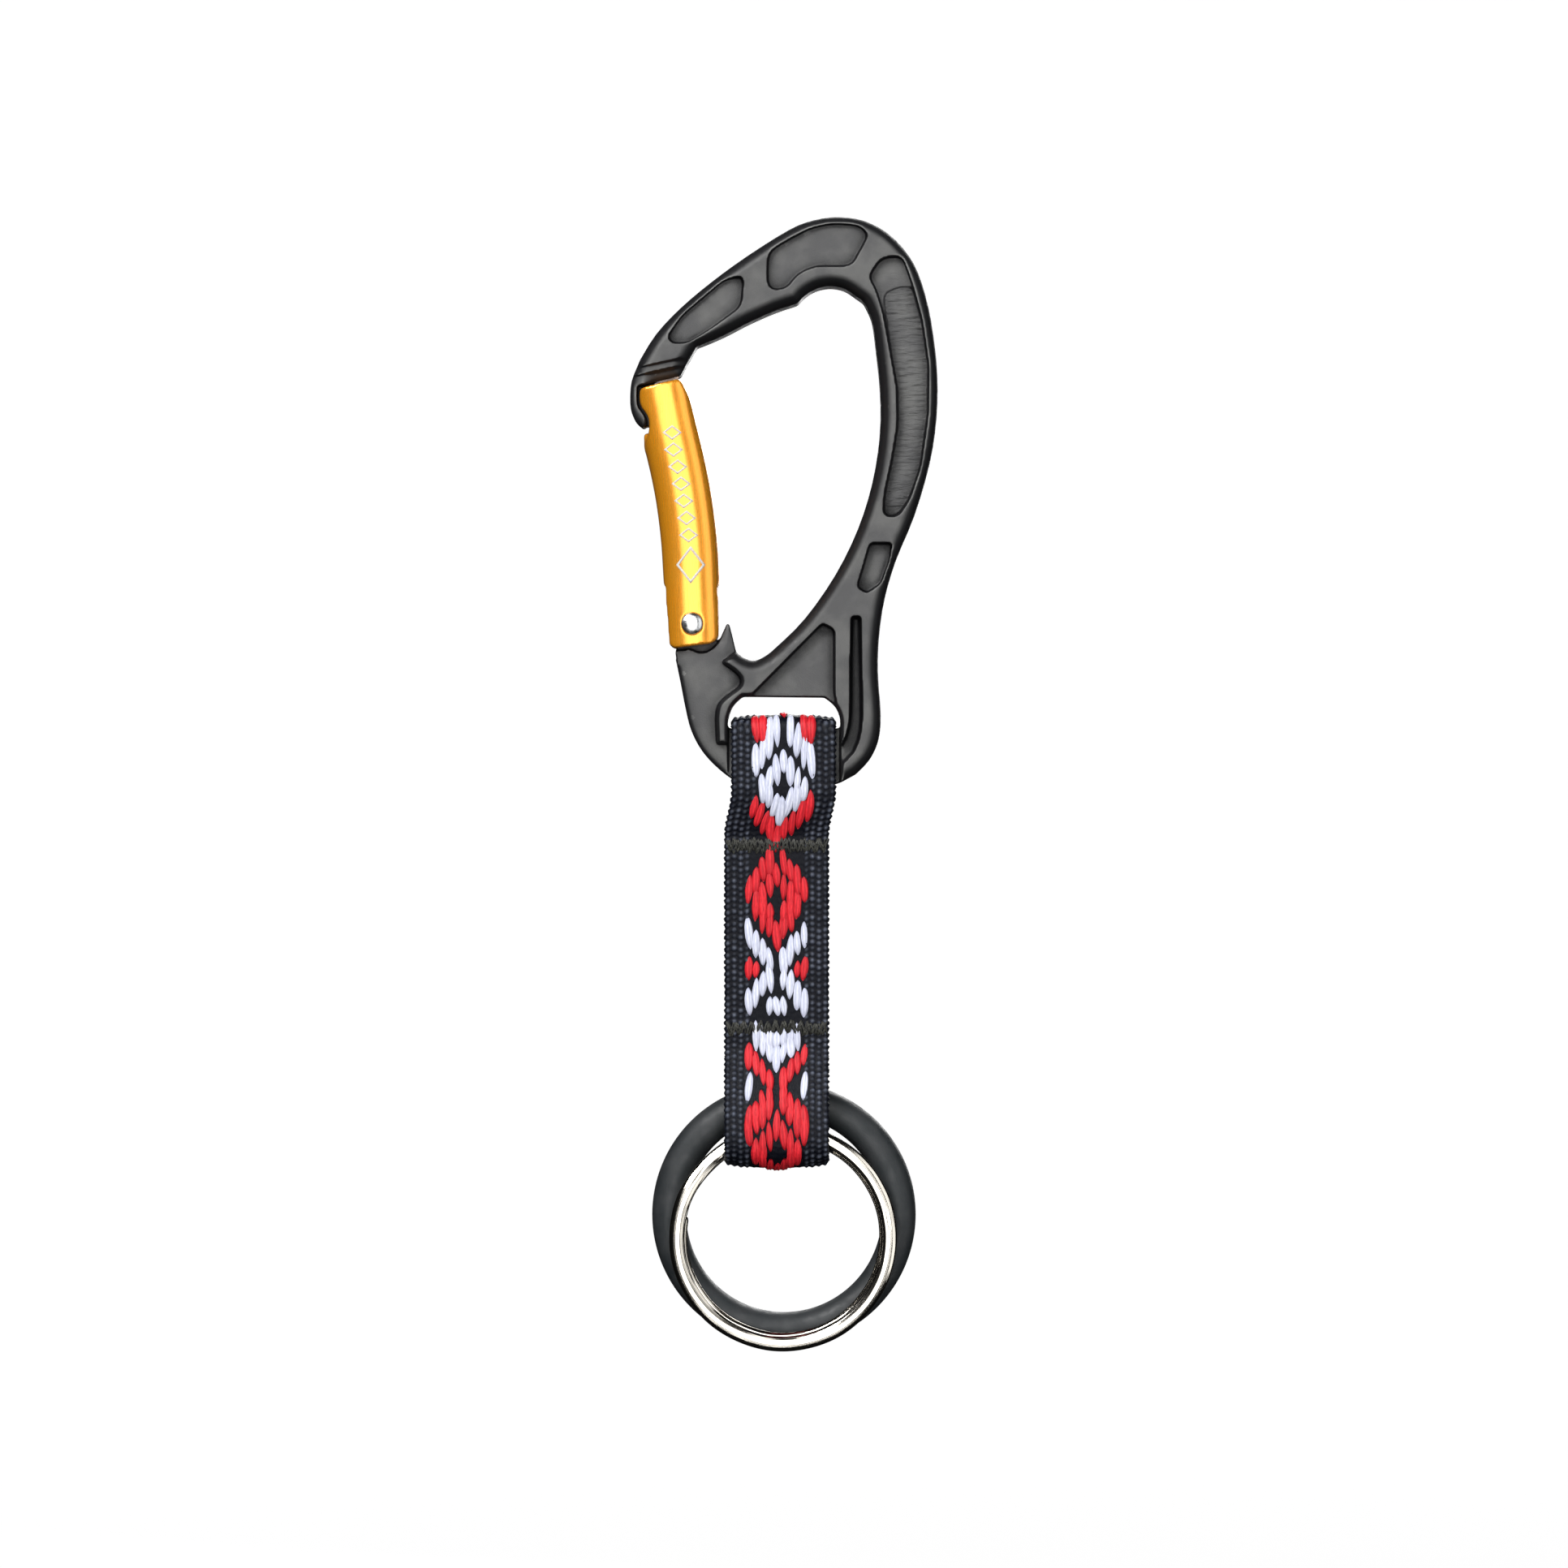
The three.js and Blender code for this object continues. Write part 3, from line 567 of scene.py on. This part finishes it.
def make_rivet():
    low, high = box_mm("gate_rivet")
    centre = (low + high) / 2
    radius = (high[0] - low[0]) / 2
    shank, dome_height = 0.8, 0.55
    seat = high[1] - dome_height
    dome = [(seat + dome_height * math.cos(t), radius * math.sin(t) ** 0.8)
            for t in np.linspace(0, math.pi / 2, 12)]
    near = [(-y, max(r, 0.001)) for y, r in dome]
    far = [(y, max(r, 0.001)) for y, r in reversed(dome)]
    rivet = Parts()
    rivet.add(*lathe([*near, (-seat, shank), (seat, shank), *far], 48, centre))
    obj = rivet.build("rivet", metal("rivet_steel", (0.70, 0.71, 0.72), 0.3, 0.001))
    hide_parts("gate_rivet")
    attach(obj, "carabiner")


def finish_inner_parts():
    look = metal("spring_steel", (0.7, 0.7, 0.72), 0.3, 0.004)
    for node in ("gate_plunger", "gate_spring"):
        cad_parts[node].data.materials[0] = look


# ---- webbing ------------------------------------------------------------------------------------

HALF_WIDTH = 6.4
HALF_THICKNESS = 0.5          # of the CAD's strap
WEFT_PITCH = 0.75             # from one rib of the ground weave to the next
STATION = WEFT_PITCH / 5      # from one ring of points to the next, along the strap
BEAD = 0.8                    # width of one bead of the ground weave
FACE = 0.36                   # height of the ground weave's valleys above the strap's middle layer
RIB = 0.3                     # height of its beads above its valleys
MIDDLE_RELIEF = 0.35          # how much of that height the beads keep between the floats
COLUMN = 0.85                 # width of one column of pattern floats
BORDER_START = 3.9            # the pattern columns end here, from the strap's middle
SKEW_START, SKEW_END = -62.0, -67.5    # the strap leans over between these heights
FOLD_CROWN = 0.5              # the strap's middle stands this far above its edges where it folds over the bar
LOOP_CROWN = 0.8              # at the ring loop's bottom its edges rise this far, its middle a quarter of it


def catmull(points, steps=6):
    """A smooth line through the points, as the CAD draws it."""
    p = np.asarray(points, float)
    padded = np.vstack([p[:1], p, p[-1:]])
    line = []
    for i in range(len(p) - 1):
        p0, p1, p2, p3 = padded[i:i + 4]
        v0, v1 = (p2 - p0) / 2, (p3 - p1) / 2
        for t in np.arange(steps) / steps:
            cubic = (2 * p1 - 2 * p2 + v0 + v1) * t ** 3
            square = (3 * p2 - 3 * p1 - 2 * v0 - v1) * t ** 2
            line.append(cubic + square + v0 * t + p1)
    return [*line, p[-1]]


def ring_loop():
    """The CAD's line of the loop round the rings, in (y, z)."""
    return catmull([
        (-0.7, -92.6), (-0.9, -94.2), (-2.4, -97.6), (-4.1, -101.4), (-4.65, -104.8),
        (-3.9, -107.2), (-1.6, -108.15), (1.3, -107.6), (4.1, -106.0), (5.9, -103.5),
        (6.1, -100.8), (4.7, -97.9), (2.4, -95.4), (0.9, -94.0), (0.7, -92.6),
    ])


def neck():
    """Half of the loop round the bar: from the middle of its top down to the ply."""
    high = box_mm("sling_top_loop")[1]
    top, side = high[2] - HALF_THICKNESS, high[1] - HALF_THICKNESS
    ply = 0.7
    quarter = np.linspace(0, math.pi / 2, 9)
    turn = [(side * math.sin(a), top - side * 0.45 * (1 - math.cos(a))) for a in quarter]
    fall = [(side, -60.6), (side - 0.15, -62.6), (1.5, -65.2), (ply + 0.07, -67.3), (ply, -68.4)]
    return [*turn, *catmull(fall)]


class Strap:
    """The webbing's middle line, closed, from the top of the bar down the front and up the back."""

    def __init__(self):
        down = [(-y, z) for y, z in neck()]
        up = neck()[::-1]
        line = np.asarray([*down, *ring_loop(), *up[:-1]])
        line = np.vstack([line, line[:1]])
        reach = np.concatenate([[0], np.cumsum(np.linalg.norm(np.diff(line, axis=0), axis=1))])
        self.length = reach[-1]
        self.count = int(round(self.length / STATION))
        even = np.linspace(0, self.length, self.count, endpoint=False)
        self.line = np.stack([np.interp(even, reach, line[:, i]) for i in (0, 1)], axis=1)
        kernel = np.ones(5) / 5
        for i in (0, 1):
            ends = np.concatenate([self.line[-2:, i], self.line[:, i], self.line[:2, i]])
            self.line[:, i] = np.convolve(ends, kernel, "valid")
        along = np.roll(self.line, -2, axis=0) - np.roll(self.line, 2, axis=0)
        along /= np.linalg.norm(along, axis=1)[:, None]
        self.out = np.stack([along[:, 1], -along[:, 0]], axis=1)
        self.bottom, self.top = self.line[:, 1].min(), self.line[:, 1].max()

    def point(self, reach, across, rise):
        """reach along the strap, across from its middle to the right, and rise above its middle layer."""
        place = reach / self.length * self.count
        i = int(math.floor(place))
        t = place - i
        here, there = i % self.count, (i + 1) % self.count
        y, z = self.line[here] * (1 - t) + self.line[there] * t
        ny, nz = self.out[here] * (1 - t) + self.out[there] * t
        return (strap_centre(z) + across, y + rise * ny, z + rise * nz + self.crown(across, z))

    def crown(self, across, z):
        """How far the strap rises: its middle over the bar, and mostly its edges in the ring loop."""
        fold_height, loop_height = 1.6, 4.0
        edge = min(1.0, abs(across) / HALF_WIDTH) ** 2
        near_top = smooth_step((z - self.top + fold_height) / fold_height)
        near_bottom = smooth_step((self.bottom + loop_height - z) / loop_height)
        return FOLD_CROWN * (1 - edge) * near_top + LOOP_CROWN * (0.25 + 0.75 * edge) * near_bottom


def strap_centre(z):
    """The sling hangs a little to the left of the slot's middle, so the strap leans over in its neck."""
    slot_box, ply_box = box_mm("sling_top_loop"), box_mm("sling_front_ply")
    upper = (slot_box[0][0] + slot_box[1][0]) / 2
    lower = (ply_box[0][0] + ply_box[1][0]) / 2
    return upper + (lower - upper) * smooth_step((SKEW_START - z) / (SKEW_START - SKEW_END))


def weave_height(across, reach, jitter):
    """Weft ribs in beads between the warp ends, each bead pulled down a little differently."""
    column = math.floor(across / BEAD)
    shift = 0.25 if column % 2 else 0.0
    row = reach / WEFT_PITCH + shift
    rib = 0.5 + 0.5 * math.cos(2 * math.pi * row)
    crown = 0.5 - 0.5 * math.cos(2 * math.pi * across / BEAD)
    pull = jitter[int(row + 0.5) % len(jitter), column % jitter.shape[1]]
    return (0.25 + 0.75 * rib ** 0.7) * (0.35 + 0.65 * crown) * pull


def edge_drop(across):
    """1 over the flat of the strap, falling to 0 round its selvedge."""
    selvedge = 0.5
    over = (abs(across) - (HALF_WIDTH - selvedge)) / selvedge
    return math.sqrt(max(0.0, 1 - max(0.0, over) ** 2))


def glint(bead):
    """How much painted highlight a bead of the weave gets at the given height: only its crown is painted as a
    glint.
    """
    return max(0.0, 1.6 * bead - 0.45) ** 1.2


def make_ground(strap):
    """The navy ground weave: ribs of beads on both faces and a looped selvedge."""
    random_state = np.random.default_rng(7)
    jitter = random_state.uniform(0.5, 1.0, (199, 23))
    scallop = random_state.uniform(0.05, 0.16, 199)
    fine, coarse, selvedge_painted_light = 0.12, 0.28, 0.15
    border = np.arange(BORDER_START, HALF_WIDTH - 0.1, fine)
    middle = np.arange(-BORDER_START + coarse, BORDER_START, coarse)
    outer = [*-border[::-1], *middle, *border]
    inner = np.linspace(HALF_WIDTH - 0.15, -HALF_WIDTH + 0.15, 16)
    rings, painted_light_values = [], []
    for i in range(strap.count):
        reach = i * strap.length / strap.count
        row = int(reach / WEFT_PITCH + 0.5)
        loop_out = scallop[row % len(scallop)] * math.cos(2 * math.pi * reach / WEFT_PITCH)
        ring, crown = [], []
        # Each point stores a painted glint on the bead crowns; the selvedge gets a low, even painted light.
        for across in outer:
            relief = 1.0 if abs(across) > BORDER_START - 0.3 else MIDDLE_RELIEF
            bead = weave_height(across, reach, jitter) * relief
            ring.append(strap.point(reach, across, (FACE + RIB * bead) * edge_drop(across)))
            crown.append(glint(bead))
        ring.append(strap.point(reach, HALF_WIDTH + loop_out, 0.0))
        crown.append(selvedge_painted_light)
        for across in inner:
            bead = weave_height(across, reach + 0.4, jitter)
            ring.append(strap.point(reach, across, -FACE - RIB * 0.4 * bead))
            crown.append(glint(bead))
        ring.append(strap.point(reach, -HALF_WIDTH - loop_out, 0.0))
        crown.append(selvedge_painted_light)
        rings.append(ring[::-1])
        painted_light_values.extend(crown[::-1])
    points, faces = tube(rings, closed=True)
    # Navy lit colour and near-black painted-shade colour of the ground yarn.
    look = yarn("navy_yarn", (0.105, 0.118, 0.155), (0.0025, 0.003, 0.006), 0.42, 1.0, 0.12)
    ground = mesh_object("webbing_ground", points * MM, faces, look)
    set_painted_light(ground, painted_light_values)
    dress_webbing(ground)
    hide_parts("sling_top_loop", "sling_front_ply", "sling_back_ply", "sling_ring_loop")


def dress_webbing(obj):
    """Bakes the webbing piece's placement into its mesh."""
    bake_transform(obj)


RED, WHITE = 0, 1
FLOAT_LENGTH = 3.5


def arms(tip, step, columns, colour, length=FLOAT_LENGTH):
    """Floats stepping away from the middle column on both sides, starting at the tip."""
    for k in columns:
        for side in ((1, -1) if k else (1,)):
            yield side * k, tip + step * k, length, colour


def diamond(middle, half, colour):
    yield from arms(middle - half, 1.15, range(4), colour)
    yield from arms(middle + half, -1.1, range(3), colour)


def crossing(middle, colour, reach=4):
    yield from arms(middle, -1.05, range(1, reach + 1), colour)
    yield from arms(middle, 1.05, range(1, reach + 1), colour)


def pattern():
    """Down the front from the fold over the bar: plain diamonds, crosses and chevrons in two colours."""
    yield from arms(-0.5, 0.0, range(1), RED, 2.2)
    yield from arms(2.7, 0.0, range(3, 5), RED, 3.8)
    yield from arms(1.8, 1.15, range(1, 5), WHITE, 4.4)
    yield from diamond(9.7, 3.2, WHITE)
    yield from arms(16.0, -0.95, range(5), RED)
    yield from arms(17.9, 1.2, range(1, 5), RED)
    yield from diamond(24.6, 3.6, RED)
    yield from arms(24.7, 0.0, range(2, 4), RED)
    yield from arms(25.8, -0.4, range(1, 3), RED, 2.8)
    yield from crossing(32.3, WHITE)
    yield from arms(32.4, 0.0, range(4, 5), RED)
    yield from arms(32.6, 0.0, range(3, 4), RED, 2.2)
    yield from arms(37.0, -0.2, range(2), WHITE, 2.6)
    yield from arms(43.6, -0.95, range(4), WHITE)
    yield from arms(41.2, -0.2, range(3), WHITE, 2.4)
    yield from crossing(47.4, RED)
    yield from arms(48.6, 1.05, range(1, 5), RED)
    yield from arms(47.2, 0.0, range(4, 5), WHITE)
    yield from diamond(55.6, 3.4, RED)
    yield from arms(55.4, 0.0, range(2, 4), RED, 3.0)


def add_float(floats, strap, column, middle, length, colour, chance):
    """One satin stitch of many filaments: it comes up through the ground, lies over it and goes back down."""
    length *= chance.uniform(0.86, 1.2)
    lean = chance.uniform(-0.2, 0.2)
    width = COLUMN * chance.uniform(0.48, 0.66)
    rise = chance.uniform(0.24, 0.36)
    taper = chance.uniform(1.2, 2.8)
    tone = chance.uniform(0.68, 1.05)
    phase = chance.uniform(0, 2 * math.pi)
    steps, sides, filaments = 13, 18, 6
    rings, painted_light_values = [], []
    for t in np.linspace(-1, 1, steps):
        swell = max((1 - abs(t) ** taper) ** 0.62, 0.05)
        height = rise * (1 - t * t) ** 0.5
        ring = []
        for a in np.linspace(0, 2 * math.pi, sides, endpoint=False):
            strand = math.cos(filaments * a + phase + 0.9 * t)
            across = column * COLUMN + lean * t + width * swell * math.cos(a) * (1 + 0.1 * strand)
            lift = FACE + 0.02 + height * (0.5 + 0.55 * math.sin(a) * (1 + 0.34 * strand))
            ring.append(strap.point(middle + t * length / 2, across, lift))
            # Painted light on each float: painted shade towards its ends and along its filament lines, a
            # painted highlight on its upper half, times a random tone.
            painted_top_light = 0.55 + 0.45 * max(0.0, math.sin(a))
            painted_light_values.append(tone * (1 - abs(t) ** 3) * (0.6 + 0.4 * strand) * painted_top_light)
        rings.append(ring)
    floats.add(*tube(rings), colour)
    return painted_light_values


def make_floats(strap):
    chance = random.Random(11)
    floats = Parts()
    painted_light_values = []
    half = strap.length / 2
    for column, middle, length, colour in pattern():
        nudge = chance.uniform(-0.2, 0.2)
        for reach in (middle + nudge, strap.length - middle - nudge):
            if middle < half - 1.0:
                painted_light_values += add_float(floats, strap, column, reach, length, colour, chance)
    # Lit and painted-shade colours of the red and the white yarn.
    obj = floats.build("webbing_floats",
                       yarn("red_yarn", (0.95, 0.028, 0.042), (0.30, 0.004, 0.010), 0.5, 0.35, 0.25),
                       yarn("white_yarn", (0.88, 0.90, 1.0), (0.36, 0.38, 0.50), 0.5, 0.35, 0.25))
    set_painted_light(obj, painted_light_values)
    dress_webbing(obj)


def make_tack(node):
    """Zigzag rows of thread across the strap, front and back, each stitch sinking at its needle holes."""
    low, high = box_mm(node)
    middle = (low + high) / 2
    chance = random.Random(node)
    half_height = (high[2] - low[2]) / 2 + 0.15
    surface = 1.3
    stitches = Parts()
    for face in (-1, 1):
        for start in (0.0, 0.35, 0.7):
            add_zigzag(stitches, middle, face * surface, start, half_height, chance)
    # Dark olive lit colour and near-black painted-shade colour of the thread.
    look = yarn("tack_thread", (0.085, 0.085, 0.07), (0.004, 0.0045, 0.0035), 0.4, 1.0, 0.3)
    obj = stitches.build(node + "_stitches", look)
    # Painted glints scattered at random over the thread.
    set_painted_light(obj, [chance.uniform(0, 1) ** 2 for _ in obj.data.vertices])
    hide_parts(node)
    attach(obj, "sling")


def add_zigzag(stitches, middle, surface, start, half_height, chance):
    pitch = 0.5
    holes = []
    x = -HALF_WIDTH + 0.2 + start * pitch
    up = 1
    while x < HALF_WIDTH - 0.1:
        holes.append((middle[0] + x, middle[2] + up * half_height * chance.uniform(0.6, 1.1)))
        x += pitch * chance.uniform(0.85, 1.15)
        up = -up
    radius, sides, steps = 0.11, 7, 9
    for (x0, z0), (x1, z1) in zip(holes, holes[1:]):
        along = np.array([x1 - x0, z1 - z0])
        across = np.array([-along[1], along[0]]) / np.linalg.norm(along)
        rings = []
        for t in np.linspace(0, 1, steps):
            arch = math.sin(math.pi * t) ** 0.5
            ring = []
            for a in np.linspace(0, 2 * math.pi, sides, endpoint=False):
                swing = radius * (0.75 + 0.25 * arch) * math.cos(a)
                y = surface * (0.82 + 0.18 * arch) + math.copysign(radius * math.sin(a), surface)
                ring.append((x0 + along[0] * t + across[0] * swing, y, z0 + along[1] * t + across[1] * swing))
            rings.append(ring)
        stitches.add(*tube(rings))


# ---- rings --------------------------------------------------------------------------------------

def squircle(half_width, half_height, power, sides):
    """A rounded section between an ellipse and a rectangle."""
    outline = []
    for a in np.linspace(0, 2 * math.pi, sides, endpoint=False):
        c, s = math.cos(a), math.sin(a)
        outline.append((math.copysign(half_width * abs(c) ** (2 / power), c),
                        math.copysign(half_height * abs(s) ** (2 / power), s)))
    return outline


def make_split_ring():
    """Flattened wire, nearly twice round: its front turn steps to a smaller back one at the upper left."""
    low, high = box_mm("split_ring")
    middle = (low + high) / 2
    outer = (high[0] - low[0]) / 2
    wire, radial = 1.2, 1.9
    lift = (high[1] - low[1] - wire) / 2
    mean = outer - radial / 2
    crossing, span, end_gap = 0.8 * math.pi, 0.2 * math.pi, 0.03 * math.pi
    travel = 4 * math.pi - span - 2 * end_gap
    tuck = 0.28
    steps = 420
    section = squircle(radial / 2, wire / 2, 2.1, 32)
    rings = []
    for t in np.linspace(-0.5, 0.5, steps):
        turned = travel * t
        across = smooth_step(turned / span + 0.5)
        angle = crossing - turned
        y0 = middle[1] + lift * (2 * across - 1)
        end = min(1.0, (0.5 - abs(t)) * steps / 3 + 0.55)
        wobble = 0.03 * math.sin(7 * angle) * math.sin(3 * angle + 1)
        turn = mean - tuck * across + wobble
        rings.append([(middle[0] + (turn + u * end) * math.cos(angle), y0 + v * end,
                       middle[2] + (turn + u * end) * math.sin(angle)) for u, v in section])
    ring = Parts()
    ring.add(*tube([r[::-1] for r in rings]))
    obj = ring.build("key_ring", metal("bright_nickel", (0.62, 0.585, 0.52), 0.13, 0.05, middle))
    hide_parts("split_ring")
    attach(obj, "split_ring")


def make_rubber_ring():
    """A moulded ring: a fine parting line runs round it inside and out."""
    low, high = box_mm("rubber_ring")
    middle = (low + high) / 2
    tube_radius = (high[1] - low[1]) / 2
    mean = (high[0] - low[0]) / 2 - tube_radius
    sides, steps = 48, 180
    rings = []
    for a in np.linspace(0, 2 * math.pi, steps, endpoint=False):
        ring = []
        for b in np.linspace(0, 2 * math.pi, sides, endpoint=False):
            seam = 0.045 * math.exp(-(math.sin(b) / 0.07) ** 2)
            r = tube_radius - 0.03 + seam
            out = mean + r * math.cos(b)
            x, z = middle[0] + out * math.cos(a), middle[2] + out * math.sin(a)
            ring.append((x, middle[1] + r * math.sin(b), z))
        rings.append(ring)
    torus = Parts()
    torus.add(*tube(rings, closed=True))
    obj = torus.build("grip_ring", ring_rubber())
    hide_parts("rubber_ring")
    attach(obj, "rubber_ring")


# ---- everything ---------------------------------------------------------------------------------

def report_size():
    plain = [[list(corner) for corner in box] for box in (CAD_BOX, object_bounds())]


scene.view_settings.view_transform = "Standard"
make_camera()
make_world()
make_lights()
make_stage()
make_carabiner()
make_gate()
make_rivet()
finish_inner_parts()
webbing = Strap()
make_ground(webbing)
make_floats(webbing)
make_tack("upper_bar_tack")
make_tack("lower_bar_tack")
make_split_ring()
make_rubber_ring()
report_size()
